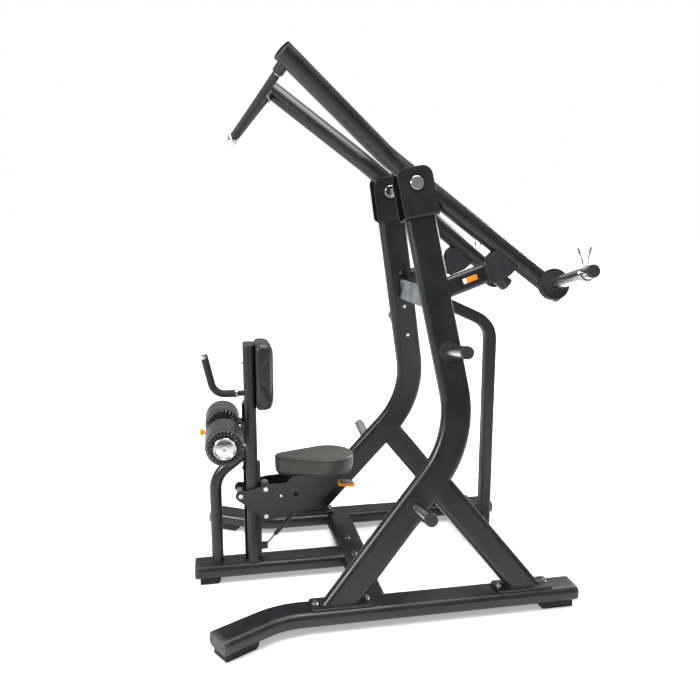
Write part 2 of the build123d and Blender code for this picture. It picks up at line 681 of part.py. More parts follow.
def make_rollers():
    front = FRONT_FACE - FRONT_STRIP_T - GAP
    body = box(ROLLER_X - 18, front - 18, -30, 30, ROLLER_Z - 22, ROLLER_Z + 22)
    body += box(front - 18, front, -34, 34, CARRIAGE_LOW, CARRIAGE_HIGH)
    reach = ROLLER_IN - 1
    body += rod((ROLLER_X, -reach, ROLLER_Z), (ROLLER_X, reach, ROLLER_Z), CROSS_R)
    lips = box(front, FRONT_FACE - 1, -34, 34, CARRIAGE_LOW, CARRIAGE_HIGH)
    lips -= Pos(0, 0, CARRIAGE_LOW - 1) * extrude(dovetail(GAP), amount=200)
    body += lips
    body -= rod((ROLLER_X - 60, 0, ROLLER_Z), (FRONT_FACE, 0, ROLLER_Z), PIN_R + 0.05)
    save("roller_carriage", body)

    axles = []
    for side in (-1, 1):
        place = Pos(ROLLER_X, 0, ROLLER_Z) * Rot(X=-90 * side)
        stem = Pos(0, 0, reach) * extrude(Circle(AXLE_R), amount=ROLLER_OUT + 2 - reach)
        dish = Pos(0, 0, ROLLER_OUT + GAP) * extrude(Circle(DISH_R), amount=8 - GAP)
        axles.append(place * (stem + dish))
    for side in (-1, 1):
        for z in (CARRIAGE_LOW + 14, CARRIAGE_HIGH - 17):
            axles.append(rod((front - 9, side * 34, z), (front - 9, side * 38, z), 7))
    save("roller_axles", *axles)
    for name, side in (("left", -1), ("right", 1)):
        inner, outer = side * ROLLER_IN, side * ROLLER_OUT
        roll = rod((ROLLER_X, inner, ROLLER_Z), (ROLLER_X, outer, ROLLER_Z), ROLLER_R)
        roll = fillet(roll.edges().filter_by(GeomType.CIRCLE), 14)
        roll -= rod((ROLLER_X, inner, ROLLER_Z), (ROLLER_X, outer, ROLLER_Z), AXLE_R + FIT)
        save(f"knee_roller_{name}", roll)

    tip = FRONT_FACE - 2
    knob_x = ROLLER_X - 75
    pin = rod((knob_x - 10, 0, ROLLER_Z), (tip, 0, ROLLER_Z), PIN_R)
    save("pull_pin", pin)
    knob = tube((knob_x, 0, ROLLER_Z), (knob_x - 10, 0, ROLLER_Z), 11, PIN_R)
    head = rod((knob_x - 10, 0, ROLLER_Z), (knob_x - 23, 0, ROLLER_Z), 16)
    save("pull_knob", knob + fillet(head.edges().group_by(Axis.X)[0], 5))


# ---- seat ----

def seat_plate_outline():
    """Side outline of a seat plate, x and z."""
    top = SEAT_LOW - 6
    points = [
        (-570, 410), (-497, 425), (-443, 438), (-366, 441), (-340, top), (-136, top), (-142, 434),
        (-160, 404), (-202, 364), (-252, 329), (-327, 304), (-440, 278), (-478, 304), (-530, 332),
        (-545, 356), (-570, 374),
    ]
    outline = make_face(Polyline(*points, close=True))
    outline = fillet(outline.vertices(), 6)
    outline += Pos(FRONT_WHEEL_X, FRONT_WHEEL_Z) * Circle(22)
    return outline + Pos(REAR_WHEEL_X, REAR_WHEEL_ZS[1]) * Circle(20)


def wheel_places():
    rears = [(REAR_WHEEL_X, z, REAR_WHEEL_R) for z in REAR_WHEEL_ZS]
    return [(FRONT_WHEEL_X, FRONT_WHEEL_Z, FRONT_WHEEL_R)] + rears


def make_seat():
    outline = seat_plate_outline()
    plate = extrude(Plane.XZ * outline, amount=SEAT_PLATE_T)
    left = Pos(0, -PLATE_OUT + SEAT_PLATE_T, 0) * plate
    holes = [(x, z) for x, z, radius in wheel_places()]
    for x, z in holes:
        left -= rod((x, -100, z), (x, 0, z), WHEEL_AXLE_R)
    left -= rod((-326, -100, 388), (-326, 0, 388), 10)
    width = 2 * (PLATE_OUT - SEAT_PLATE_T)
    bridge = box(-330, -150, -width / 2, width / 2, SEAT_LOW - 26, SEAT_LOW - 6)
    bridge -= box(-326, -154, -width / 2, width / 2, SEAT_LOW - 30, SEAT_LOW - 10)
    save("seat_carriage", left, mirrored(left), bridge)

    axles = []
    for x, z in holes:
        pin = rod((x, -PLATE_OUT, z), (x, PLATE_OUT, z), WHEEL_AXLE_R)
        for side in (-1, 1):
            pin += rod((x, side * PLATE_OUT, z), (x, side * (PLATE_OUT + 5), z), 10)
        axles.append(pin)
    inner = PLATE_OUT - SEAT_PLATE_T
    for x, z in (GAS_HEAD, LEVER_PIVOT):
        axles.append(rod((x, -inner, z), (x, inner, z), WHEEL_AXLE_R))
    for side in (-1, 1):
        axles.append(rod((-390, side * PLATE_OUT, 385), (-390, side * (PLATE_OUT + 3), 385), 6))
    save("seat_axles", *axles)

    names = ("seat_wheel_front", "seat_wheel_upper", "seat_wheel_lower")
    for name, (x, z, radius) in zip(names, wheel_places()):
        ring = tube((x, -WHEEL_W / 2, z), (x, WHEEL_W / 2, z), radius - GAP, WHEEL_AXLE_R + FIT)
        save(name, ring)

    inset = 12
    board = extrude(seat_outline(-inset), amount=BOARD_T)
    board = Pos(0, 0, SEAT_LOW - 6) * board
    save("seat_board", board)
    pad = Pos(0, 0, SEAT_LOW) * extrude(seat_outline(0), amount=SEAT_HIGH - SEAT_LOW)
    pad = fillet(pad.faces().sort_by(Axis.Z)[-1].edges(), 14)
    save("seat_pad", pad - board)


def seat_outline(grow):
    """Plan of the seat pad: a small nose circle and a large tail circle joined by tangents."""
    nose = Pos(SEAT_NOSE_X, 0) * Circle(SEAT_NOSE_R + grow)
    tail = Pos(SEAT_TAIL_X, 0) * Circle(SEAT_TAIL_R + grow)
    return make_hull((nose + tail).edges())


def make_release():
    x, z = LEVER_PIVOT
    arm = box(x, x + 120, -22, 22, z - 4, z + 4) + rod((x, -22, z), (x, 22, z), 12)
    arm = fillet(arm.faces().sort_by(Axis.X)[-1].edges().filter_by(Axis.Z), 6)
    arm -= rod((x, -30, z), (x, 30, z), WHEEL_AXLE_R + FIT)
    grip = box(x + 70, x + 157, -26, 26, z - 11, z + 10)
    grip = fillet(grip.edges().filter_by(Axis.Y), 8)
    grip -= arm
    save("release_lever", arm)
    save("release_grip", grip)


def make_gas_spring():
    fx, fz = GAS_FOOT
    hx, hz = GAS_HEAD
    foot_point, head_point = Vector(fx, 0, fz), Vector(hx, 0, hz)
    along = (head_point - foot_point).normalized()
    eye = rod((fx, -7, fz), (fx, 7, fz), 9)
    rod_end = foot_point + along * 190
    piston = eye + rod(foot_point, rod_end, GAS_ROD_R)
    piston += rod(rod_end, rod_end + along * 8, GAS_TUBE_R - 2 - FIT)
    piston -= rod((fx, -10, fz), (fx, 10, fz), 4 + FIT)
    save("gas_spring_rod", piston)
    mouth = foot_point + along * GAS_MOUTH
    closed = head_point - along * 20
    body = rod(mouth, closed, GAS_TUBE_R) - rod(mouth + along * 6, closed - along * 4, GAS_TUBE_R - 2)
    body -= rod(mouth, mouth + along * 8, GAS_ROD_R + FIT)
    ring = rod((hx, -8, hz), (hx, 8, hz), 22)
    body += ring + rod(closed, head_point, 8)
    body -= rod((hx, -10, hz), (hx, 10, hz), WHEEL_AXLE_R + 10)
    save("gas_spring_tube", body)


make_base()
make_side_frames()
make_brackets()
make_head()
make_levers()
make_storage()
make_post()
make_chest_pad()
make_support()
make_rollers()
make_seat()
make_release()
make_gas_spring()
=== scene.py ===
import json
from math import cos, pi, radians, sin, tan

import bmesh
import bpy
import numpy as np
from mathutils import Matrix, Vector
from mathutils.bvhtree import BVHTree


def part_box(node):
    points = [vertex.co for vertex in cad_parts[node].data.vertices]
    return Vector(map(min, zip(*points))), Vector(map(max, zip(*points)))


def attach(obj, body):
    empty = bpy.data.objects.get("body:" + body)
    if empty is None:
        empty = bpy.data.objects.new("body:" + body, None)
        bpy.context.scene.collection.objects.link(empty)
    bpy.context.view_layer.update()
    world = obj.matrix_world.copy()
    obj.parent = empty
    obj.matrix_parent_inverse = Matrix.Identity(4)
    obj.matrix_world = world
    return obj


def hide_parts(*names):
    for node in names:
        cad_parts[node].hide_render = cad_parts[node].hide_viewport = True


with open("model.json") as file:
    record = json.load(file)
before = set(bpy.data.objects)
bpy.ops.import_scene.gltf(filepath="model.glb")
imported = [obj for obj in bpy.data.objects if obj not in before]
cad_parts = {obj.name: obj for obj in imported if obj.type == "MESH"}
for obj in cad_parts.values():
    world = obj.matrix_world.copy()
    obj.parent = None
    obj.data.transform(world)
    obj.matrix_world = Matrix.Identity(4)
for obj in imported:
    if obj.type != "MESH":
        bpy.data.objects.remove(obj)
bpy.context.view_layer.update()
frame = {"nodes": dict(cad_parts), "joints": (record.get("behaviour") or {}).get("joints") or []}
nodes = frame["nodes"]
joints = {joint["name"]: joint for joint in frame["joints"]}
mm = 0.001
print("frame loaded")


# colours and nodes

def linear(hexColour):
    # sRGB hex to linear rgba
    values = [int(hexColour[i:i + 2], 16) / 255 for i in (1, 3, 5)]
    return [v / 12.92 if v <= 0.04045 else ((v + 0.055) / 1.055) ** 2.4 for v in values] + [1.0]


def addNode(tree, kind, settings=None, links=None):
    # settings are attributes or input values by name, links are input name to (node, output)
    node = tree.nodes.new("ShaderNode" + kind)
    for name, value in (settings or {}).items():
        if isinstance(name, int) or name in node.inputs:
            node.inputs[name].default_value = value
        else:
            setattr(node, name, value)
    for name, (source, output) in (links or {}).items():
        tree.links.new(source.outputs[output], node.inputs[name])
    return node


def newMaterial(name, surface):
    # a material with one Principled shader whose plain values are set on its own sockets
    material = bpy.data.materials.new(name)
    material.use_nodes = True
    tree = material.node_tree
    tree.nodes.clear()
    shader = addNode(tree, "BsdfPrincipled", surface)
    addNode(tree, "OutputMaterial", None, {"Surface": (shader, "BSDF")})
    coords = addNode(tree, "TexCoord")
    return material, tree, shader, coords


def ramp(tree, source, output, stops):
    # colour ramp from (position, colour) stops, colours given as hex
    node = addNode(tree, "ValToRGB", None, {"Fac": (source, output)})
    elements = node.color_ramp.elements
    while len(elements) < len(stops):
        elements.new(0.5)
    for element, (position, colour) in zip(elements, stops):
        element.position = position
        element.color = linear(colour)
    return node


def mapRange(tree, source, output, low, high, start=0.0, end=1.0):
    settings = {"From Min": start, "From Max": end, "To Min": low, "To Max": high}
    return addNode(tree, "MapRange", settings, {"Value": (source, output)})


def bumpFrom(tree, shader, source, output, strength, distance):
    bump = addNode(tree, "Bump", {"Strength": strength, "Distance": distance}, {"Height": (source, output)})
    tree.links.new(bump.outputs["Normal"], shader.inputs["Normal"])
    return bump


# Powder coat: polyester baked on steel, so a matt skin with a fine pebble and slow drifts of gloss.
# The real grit is 0.3 mm, drawn at 1.4 mm so that it shows.
powderCoat = {"dark": "#131415", "light": "#1b1c1e", "grit": 1.4, "drift": 90.0,
              "rough": (0.29, 0.40), "speck": 0.25, "bump": 0.12, "depth": 0.25}


def makePowderCoat(look=powderCoat):
    material, tree, shader, coords = newMaterial("textured powder coat", {"IOR": 1.5, "Metallic": 0.0})
    drift = addNode(tree, "TexNoise", {"Scale": 1000 / look["drift"], "Detail": 4.0}, {"Vector": (coords, "Object")})
    grit = addNode(tree, "TexNoise", {"Scale": 1000 / look["grit"], "Detail": 2.0}, {"Vector": (coords, "Object")})
    tone = ramp(tree, drift, "Fac", [(0.3, look["dark"]), (0.7, look["light"])])
    mixed = {"Color1": (tone, "Color"), "Color2": (grit, "Fac")}
    speck = addNode(tree, "MixRGB", {"blend_type": "MULTIPLY", "Fac": look["speck"]}, mixed)
    tree.links.new(speck.outputs["Color"], shader.inputs["Base Color"])
    gloss = mapRange(tree, drift, "Fac", *look["rough"], 0.35, 0.65)
    tree.links.new(gloss.outputs["Result"], shader.inputs["Roughness"])
    bumpFrom(tree, shader, grit, "Fac", look["bump"], look["depth"] * mm)
    return material


# Moulded plastics: caps, knobs and films with the fine spark-eroded grain of their mould.
def makeMouldedPlastic(name, base, pale, rough=0.45, grain=1.8):
    material, tree, shader, coords = newMaterial(name, {"IOR": 1.53, "Roughness": rough})
    grainNoise = addNode(tree, "TexNoise", {"Scale": 1000 / grain, "Detail": 3.0}, {"Vector": (coords, "Object")})
    cloud = addNode(tree, "TexNoise", {"Scale": 22.0, "Detail": 2.0}, {"Vector": (coords, "Object")})
    tone = ramp(tree, cloud, "Fac", [(0.3, base), (0.7, pale)])
    tree.links.new(tone.outputs["Color"], shader.inputs["Base Color"])
    bumpFrom(tree, shader, grainNoise, "Fac", 0.18, 0.2 * mm)
    return material


# Moulded rubber: dull, dusty in patches, with a faint pebble.
def makeRubber(name, base, dusty, rough, pebble):
    material, tree, shader, coords = newMaterial(name, {"IOR": 1.52, "Specular IOR Level": 0.35})
    dust = addNode(tree, "TexNoise", {"Scale": 30.0, "Detail": 6.0, "Roughness": 0.6}, {"Vector": (coords, "Object")})
    tone = ramp(tree, dust, "Fac", [(0.35, base), (0.75, dusty)])
    tree.links.new(tone.outputs["Color"], shader.inputs["Base Color"])
    gloss = mapRange(tree, dust, "Fac", rough - 0.08, rough + 0.1, 0.3, 0.7)
    tree.links.new(gloss.outputs["Result"], shader.inputs["Roughness"])
    pores = addNode(tree, "TexVoronoi", {"Scale": 1000 / pebble}, {"Vector": (coords, "Object")})
    bumpFrom(tree, shader, pores, "Distance", 0.2, 0.3 * mm)
    return material


# Plated and polished metals: a mirror with slight waviness; the brushed ones carry fine turned lines.
def makeMetal(name, colour, rough, lines=None):
    material, tree, shader, coords = newMaterial(name, {"Metallic": 1.0, "Base Color": linear(colour)})
    if lines:
        # lines is (axis scale x, y, z): squeezed along the bar, so rings run round it
        stretch = addNode(tree, "Mapping", {"Scale": lines}, {"Vector": (coords, "Object")})
        streaks = addNode(tree, "TexNoise", {"Scale": 1.0, "Detail": 3.0}, {"Vector": (stretch, "Vector")})
        gloss = mapRange(tree, streaks, "Fac", rough * 0.6, rough * 1.7, 0.3, 0.7)
        tree.links.new(gloss.outputs["Result"], shader.inputs["Roughness"])
        bumpFrom(tree, shader, streaks, "Fac", 0.12, 0.1 * mm)
        return material
    wave = addNode(tree, "TexNoise", {"Scale": 45.0, "Detail": 3.0}, {"Vector": (coords, "Object")})
    gloss = mapRange(tree, wave, "Fac", rough * 0.7, rough * 1.5, 0.3, 0.7)
    tree.links.new(gloss.outputs["Result"], shader.inputs["Roughness"])
    bumpFrom(tree, shader, wave, "Fac", 0.05, 0.4 * mm)
    return material


# Upholstery vinyl: PVC on knit, embossed with a leather grain whose cells are 1.2 mm, drawn at 2.6 mm.
upholstery = {"dark": "#0d0e0f", "light": "#161718", "grain": 2.6, "rough": (0.28, 0.4)}


def makeVinyl(name="upholstery vinyl", look=upholstery):
    material, tree, shader, coords = newMaterial(name, {"IOR": 1.5, "Sheen Weight": 0.12, "Sheen Roughness": 0.5})
    grain = {"Scale": 1000 / look["grain"], "feature": "SMOOTH_F1", "Smoothness": 0.6}
    cells = addNode(tree, "TexVoronoi", grain, {"Vector": (coords, "Object")})
    rub = addNode(tree, "TexNoise", {"Scale": 14.0, "Detail": 5.0}, {"Vector": (coords, "Object")})
    fine = addNode(tree, "TexNoise", {"Scale": 700.0, "Detail": 2.0}, {"Vector": (coords, "Object")})
    tone = ramp(tree, rub, "Fac", [(0.3, look["dark"]), (0.72, look["light"])])
    tree.links.new(tone.outputs["Color"], shader.inputs["Base Color"])
    gloss = mapRange(tree, rub, "Fac", *look["rough"], 0.3, 0.7)
    tree.links.new(gloss.outputs["Result"], shader.inputs["Roughness"])
    height = addNode(tree, "Math", {"operation": "MULTIPLY_ADD", 1: 0.3}, {0: (fine, "Fac"), 2: (cells, "Distance")})
    bumpFrom(tree, shader, height, "Value", 0.35, 0.35 * mm)
    return material


# Birch plywood stained black: glue lines every 1.5 mm of thickness show as faint paler bands.
def makePlywood():
    material, tree, shader, coords = newMaterial("black stained plywood", {"Roughness": 0.6, "IOR": 1.5})
    bands = {"wave_type": "BANDS", "bands_direction": "Z", "Scale": 105.0, "Distortion": 0.6}
    plies = addNode(tree, "TexWave", bands, {"Vector": (coords, "Object")})
    tone = ramp(tree, plies, "Fac", [(0.2, "#16130f"), (0.55, "#2b241c")])
    tree.links.new(tone.outputs["Color"], shader.inputs["Base Color"])
    bumpFrom(tree, shader, plies, "Fac", 0.15, 0.2 * mm)
    return material


paint = makePowderCoat()
gasPaint = makeMouldedPlastic("gas spring enamel", "#141516", "#1a1b1c", rough=0.28)
absPlastic = makeMouldedPlastic("moulded ABS", "#232528", "#2b2d31")
footRubber = makeRubber("foot rubber", "#1c1d1e", "#2b2c2d", 0.72, 2.4)
stopRubber = makeRubber("bumper polyurethane", "#202123", "#292a2c", 0.6, 2.0)
dulled = makeMetal("burnished clip grips", "#8d8884", 0.42)
gripFoam = makeRubber("dipped grip rubber", "#18191a", "#222324", 0.62, 1.6)
chrome = makeMetal("chrome plate", "#bfc0c3", 0.09)
zinc = makeMetal("zinc plate", "#c2c8cf", 0.26)
polished = makeMetal("polished bar", "#d2d0cc", 0.16, (60.0, 2600.0, 60.0))
bronze = makeMetal("sintered bronze", "#a5814a", 0.4)
vinyl = makeVinyl()
# the seat pad takes a paler copy of the same upholstery vinyl: painted sheen, standing in for the light on the seat's
# top, laid over the whole pad
vinylPaintedSheen = makeVinyl("seat vinyl with painted sheen", {"dark": "#2a2927", "light": "#3a3835", "grain": 2.6, "rough": (0.34, 0.46)})
plywood = makePlywood()
orange = makeMouldedPlastic("orange nylon", "#ee8410", "#f79a22", rough=0.34)
greyPlastic = makeMouldedPlastic("grey ABS", "#6a6d70", "#787b7e", rough=0.4)
wheelNylon = makeMouldedPlastic("wheel nylon", "#77797b", "#8b8d8f", rough=0.38)
badgeFilm = makeMetal("satin aluminium", "#a9acb0", 0.42, (3000.0, 12.0, 12.0))
whiteFilm = makeMouldedPlastic("white label film", "#d9d9d6", "#e8e8e4", rough=0.35)
# near-black for the screws sunk in the rail caps: painted shade of their unlit bores
paintedBoreShade = makeMouldedPlastic("unlit bore", "#050505", "#080808", rough=0.8)
print("materials made")


# surfaces: each part is (points, faces), joined into one mesh at the end

def grid(points, closeU=False, closeV=False):
    # quads over an array of points[u, v], wrapped round where asked
    nu, nv = points.shape[:2]
    u = np.arange(nu if closeU else nu - 1)[:, None]
    v = np.arange(nv if closeV else nv - 1)[None, :]
    a, b = u * nv + v, ((u + 1) % nu) * nv + v
    c, d = ((u + 1) % nu) * nv + (v + 1) % nv, u * nv + (v + 1) % nv
    faces = np.stack([a, b, c, d], axis=-1).reshape(-1, 4)
    return points.reshape(-1, 3), faces


def frameOf(axis):
    # unit axis and two unit vectors square to it, the first leaning upwards unless the axis is upright
    axis = np.array(axis, float) / np.linalg.norm(axis)
    hint = np.array([0.0, 0.0, 1.0])
    if abs(axis @ hint) > 0.95:
        hint = np.array([1.0, 0.0, 0.0])
    across = hint - axis * (axis @ hint)
    across /= np.linalg.norm(across)
    return axis, across, np.cross(axis, across)


def lathe(profile, origin, axis, sides=48):
    # the profile's (height, radius) pairs carried round the axis: origin + h axis + r (cos t, sin t)
    axis, e1, e2 = frameOf(axis)
    h, r = np.array(profile, float).T
    t = np.linspace(0, 2 * pi, sides, endpoint=False)[:, None]
    points = np.array(origin, float) + h[None, :, None] * axis
    points = points + (r[None, :] * np.cos(t))[..., None] * e1 + (r[None, :] * np.sin(t))[..., None] * e2
    return grid(points, closeU=True)


def tubeAlong(path, radius, sides=16, hint=(0.0, 0.0, 1.0)):
    # circle of the given radius carried square to the path, its ends drawn in to a point
    path = np.array(path, float)
    radius = np.broadcast_to(np.array(radius, float), (len(path),)).copy()
    path = np.concatenate([path[:1], path, path[-1:]])
    radius = np.concatenate([[0.0], radius, [0.0]])
    tangent = np.gradient(path, axis=0)
    tangent[0], tangent[1], tangent[-1], tangent[-2] = tangent[2], tangent[2], tangent[-3], tangent[-3]
    tangent /= np.linalg.norm(tangent, axis=1)[:, None]
    e1 = np.cross(tangent, np.array(hint, float))
    e1 /= np.linalg.norm(e1, axis=1)[:, None]
    e2 = np.cross(tangent, e1)
    t = np.linspace(0, 2 * pi, sides, endpoint=False)[None, :, None]
    ring = np.cos(t) * e1[:, None] + np.sin(t) * e2[:, None]
    return grid(path[:, None] + ring * radius[:, None, None], closeV=True)


def rounded(profile, bend, steps=4):
    # each inner corner of a profile replaced by a short quadratic curve that starts and ends bend away
    profile = np.array(profile, float)
    out = [profile[:1]]
    for before, corner, after in zip(profile[:-2], profile[1:-1], profile[2:]):
        reach = [min(bend, np.linalg.norm(end - corner) * 0.45) for end in (before, after)]
        a = corner + (before - corner) / max(np.linalg.norm(before - corner), 1e-9) * reach[0]
        b = corner + (after - corner) / max(np.linalg.norm(after - corner), 1e-9) * reach[1]
        t = np.linspace(0, 1, steps + 1)[:, None]
        out.append((1 - t) ** 2 * a + 2 * t * (1 - t) * corner + t ** 2 * b)
    return np.concatenate(out + [profile[-1:]])


def meshPiece(name, parts, material, body, smooth=38, replaces=()):
    # joins the parts, closes their poles and seams, turns faces outwards and rides the piece on its body
    count, allPoints, allFaces = 0, [], []
    for points, faces in parts:
        allPoints.append(points)
        allFaces.append(faces + count)
        count += len(points)
    mesh = bpy.data.meshes.new(name)
    mesh.from_pydata(np.concatenate(allPoints).tolist(), [], np.concatenate(allFaces).tolist())
    shell = bmesh.new()
    shell.from_mesh(mesh)
    bmesh.ops.remove_doubles(shell, verts=shell.verts, dist=0.01 * mm)
    bmesh.ops.recalc_face_normals(shell, faces=shell.faces)
    shade(shell, smooth)
    shell.to_mesh(mesh)
    shell.free()
    return setPiece(bpy.data.objects.new(name, mesh), material, body, replaces)


def shade(shell, smooth):
    # smooth shading with sharp edges kept where faces meet at more than the given angle
    for face in shell.faces:
        face.smooth = True
    for edge in shell.edges:
        edge.smooth = len(edge.link_faces) == 2 and edge.calc_face_angle(0) < radians(smooth)


def setPiece(piece, material, body, replaces=()):
    bpy.context.scene.collection.objects.link(piece)
    if material:
        piece.data.materials.clear()
        piece.data.materials.append(material)
    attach(piece, body)
    if replaces:
        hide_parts(*replaces)
    return piece


def bevelled(node, width, material, body, sharp=28):
    # a merged copy of a plate or block with its hard edges broken, because a cut edge catches the light
    mesh = nodes[node].data.copy()
    mesh.name = node + "Edged"
    shell = bmesh.new()
    shell.from_mesh(mesh)
    bmesh.ops.remove_doubles(shell, verts=shell.verts, dist=0.005 * mm)
    bmesh.ops.dissolve_limit(shell, angle_limit=radians(1.0), verts=shell.verts, edges=shell.edges)
    bmesh.ops.recalc_face_normals(shell, faces=shell.faces)
    shade(shell, sharp)
    if "custom_normal" in mesh.attributes:
        mesh.attributes.remove(mesh.attributes["custom_normal"])
    shell.to_mesh(mesh)
    shell.free()
    piece = bpy.data.objects.new(node + "Edged", mesh)
    setPiece(piece, material, body, (node,))
    edge = piece.modifiers.new("edge", "BEVEL")
    edge.limit_method = "ANGLE"
    edge.angle_limit = radians(sharp)
    edge.width = width
    edge.segments = 3
    edge.use_clamp_overlap = True
    edge.harden_normals = False
    normals = piece.modifiers.new("normals", "WEIGHTED_NORMAL")
    normals.keep_sharp = False
    return piece


def dress(material, *names):
    for name in names:
        nodes[name].data.materials.clear()
        nodes[name].data.materials.append(material)


dress(paint, "base_rails", "centre_rail", "front_cross_beam", "rear_cross_beam", "uprights", "braces", "badge_beam")
dress(paint, "rear_post", "stop_arms", "pad_post", "guide_strips", "front_leg", "support_handle", "lever_left")
dress(paint, "lever_right", "release_lever", "base_plates", "pivot_brackets", "roller_carriage", "seat_carriage")
dress(absPlastic, "tube_caps", "storage_caps", "lever_caps_left", "lever_caps_right")
dress(footRubber, "rubber_feet")
dress(stopRubber, "stop_bumpers", "storage_flanges", "load_flange_left", "load_flange_right")
dress(gripFoam, "handle_grip_left", "handle_grip_right", "support_grip")
dress(zinc, "frame_bolts", "seat_axles", "pull_pin")
dress(chrome, "pivot_shafts", "support_trim", "roller_axles", "spring_clip_left", "spring_clip_right")
dress(chrome, "gas_spring_rod", "handle_bar_left", "handle_bar_right")
dress(polished, "storage_horns", "load_horn_left", "load_horn_right")
dress(bronze, "lever_bushes")
dress(vinyl, "chest_pad", "seat_pad", "knee_roller_left", "knee_roller_right")
dress(plywood, "chest_pad_board", "seat_board")
dress(orange, "pull_knob", "release_grip")
dress(wheelNylon, "seat_wheel_front", "seat_wheel_upper", "seat_wheel_lower")
dress(badgeFilm, "badge_panel")
dress(gasPaint, "gas_spring_tube")
print("CAD pieces dressed")


def slab(centre, ex, ey, ez, halfX, halfY, rings, corner=5.0, count=64):
    # closed slab: superellipse outline |x/a|^n + |y/b|^n = 1, its rings given as (share of outline, height)
    t = np.linspace(0, 2 * pi, count, endpoint=False)
    x = halfX * np.sign(np.cos(t)) * np.abs(np.cos(t)) ** (2 / corner)
    y = halfY * np.sign(np.sin(t)) * np.abs(np.sin(t)) ** (2 / corner)
    flat = x[:, None] * np.array(ex, float) + y[:, None] * np.array(ey, float)
    share, height = np.array(rings, float).T
    points = np.array(centre, float) + share[:, None, None] * flat + height[:, None, None] * np.array(ez, float)
    return grid(points, closeV=True)


def meshPoints(node):
    # the corner points of a CAD node
    mesh = nodes[node].data
    points = np.empty(len(mesh.vertices) * 3)
    mesh.vertices.foreach_get("co", points)
    return points.reshape(-1, 3)


def turns(a, b, c):
    # positive where the way from a over b to c bends left
    return (b[0] - a[0]) * (c[1] - b[1]) - (b[1] - a[1]) * (c[0] - b[0])


def hull(points):
    # convex outline of flat points, in order
    points = sorted(map(tuple, np.unique(np.round(points, 6), axis=0)))
    chains = []
    for run in (points, points[::-1]):
        chain = []
        for point in run:
            while len(chain) > 1 and turns(chain[-2], chain[-1], point) <= 0:
                chain.pop()
            chain.append(point)
        chains += chain[:-1]
    return np.array(chains)


def resample(line, step, closed=True):
    # points at even distances along a line
    line = np.array(line, float)
    if closed:
        line = np.concatenate([line, line[:1]])
    gone = np.concatenate([[0], np.cumsum(np.linalg.norm(np.diff(line, axis=0), axis=1))])
    places = np.linspace(0, gone[-1], max(int(gone[-1] / step), 8) + 1)
    return np.stack([np.interp(places, gone, column) for column in line.T], axis=1)


# plates, blocks and castings keep their CAD shape, with their edges broken

edged = [
    # node, edge width in mm, material, body, slot
    ("pivot_brackets", 1.4, paint, "frame", "textured_black"),
    ("base_plates", 2.2, paint, "frame", "textured_black"),
    ("roller_carriage", 1.5, paint, "rollers", "textured_black"),
    ("seat_carriage", 1.2, paint, "seat", "textured_black"),
    ("stop_bumpers", 3.0, stopRubber, "frame", "rubber"),
    ("storage_flanges", 1.6, stopRubber, "frame", "rubber"),
    ("load_flange_left", 2.2, stopRubber, "lever_left", "rubber"),
    ("load_flange_right", 2.2, stopRubber, "lever_right", "rubber"),
    ("rubber_feet", 2.0, footRubber, "frame", "rubber"),
    ("frame_bolts", 0.7, zinc, "frame", "chrome"),
    ("seat_axles", 1.4, zinc, "seat", "chrome"),
]
for node, width, material, body, slot in edged:
    bevelled(node, width * mm, material, body)
print("plates and blocks edged")


# weld beads where tubes stand on their plates and rails

weld = {"radius": 3.0, "ripple": 0.45, "pitch": 4.5, "step": 0.8, "lift": 0.6}


def makeWelds(names, look=weld):
    # a rippled bead round the foot of each tube: radius = r + ripple * sin(2 pi s / pitch)
    parts = []
    for name in names:
        points = meshPoints(name)
        points = points[points[:, 2] < points[:, 2].min() + 0.3 * mm]
        pair = np.ptp(points[:, 1]) > 0.3
        sides = [points[points[:, 1] < 0], points[points[:, 1] > 0]] if pair else [points]
        for side in sides:
            ring = resample(hull(side[:, :2]), look["step"] * mm)
            s = np.arange(len(ring)) * look["step"]
            radius = (look["radius"] + look["ripple"] * np.sin(2 * pi * s / look["pitch"])) * mm
            height = np.full((len(ring), 1), side[:, 2].mean() + look["lift"] * mm)
            parts.append(tubeAlong(np.hstack([ring, height]), radius, sides=8))
    meshPiece("weldBeads", parts, paint, "frame", smooth=60)


makeWelds(["uprights", "braces", "pad_post", "front_leg", "rear_post"])
print("weld beads laid")


# knee rollers: foam in a vinyl sleeve whose ends are gathered under a chrome dish

roller = {"pleats": 27, "depth": 4.2, "dish": 45.0, "samples": 432}


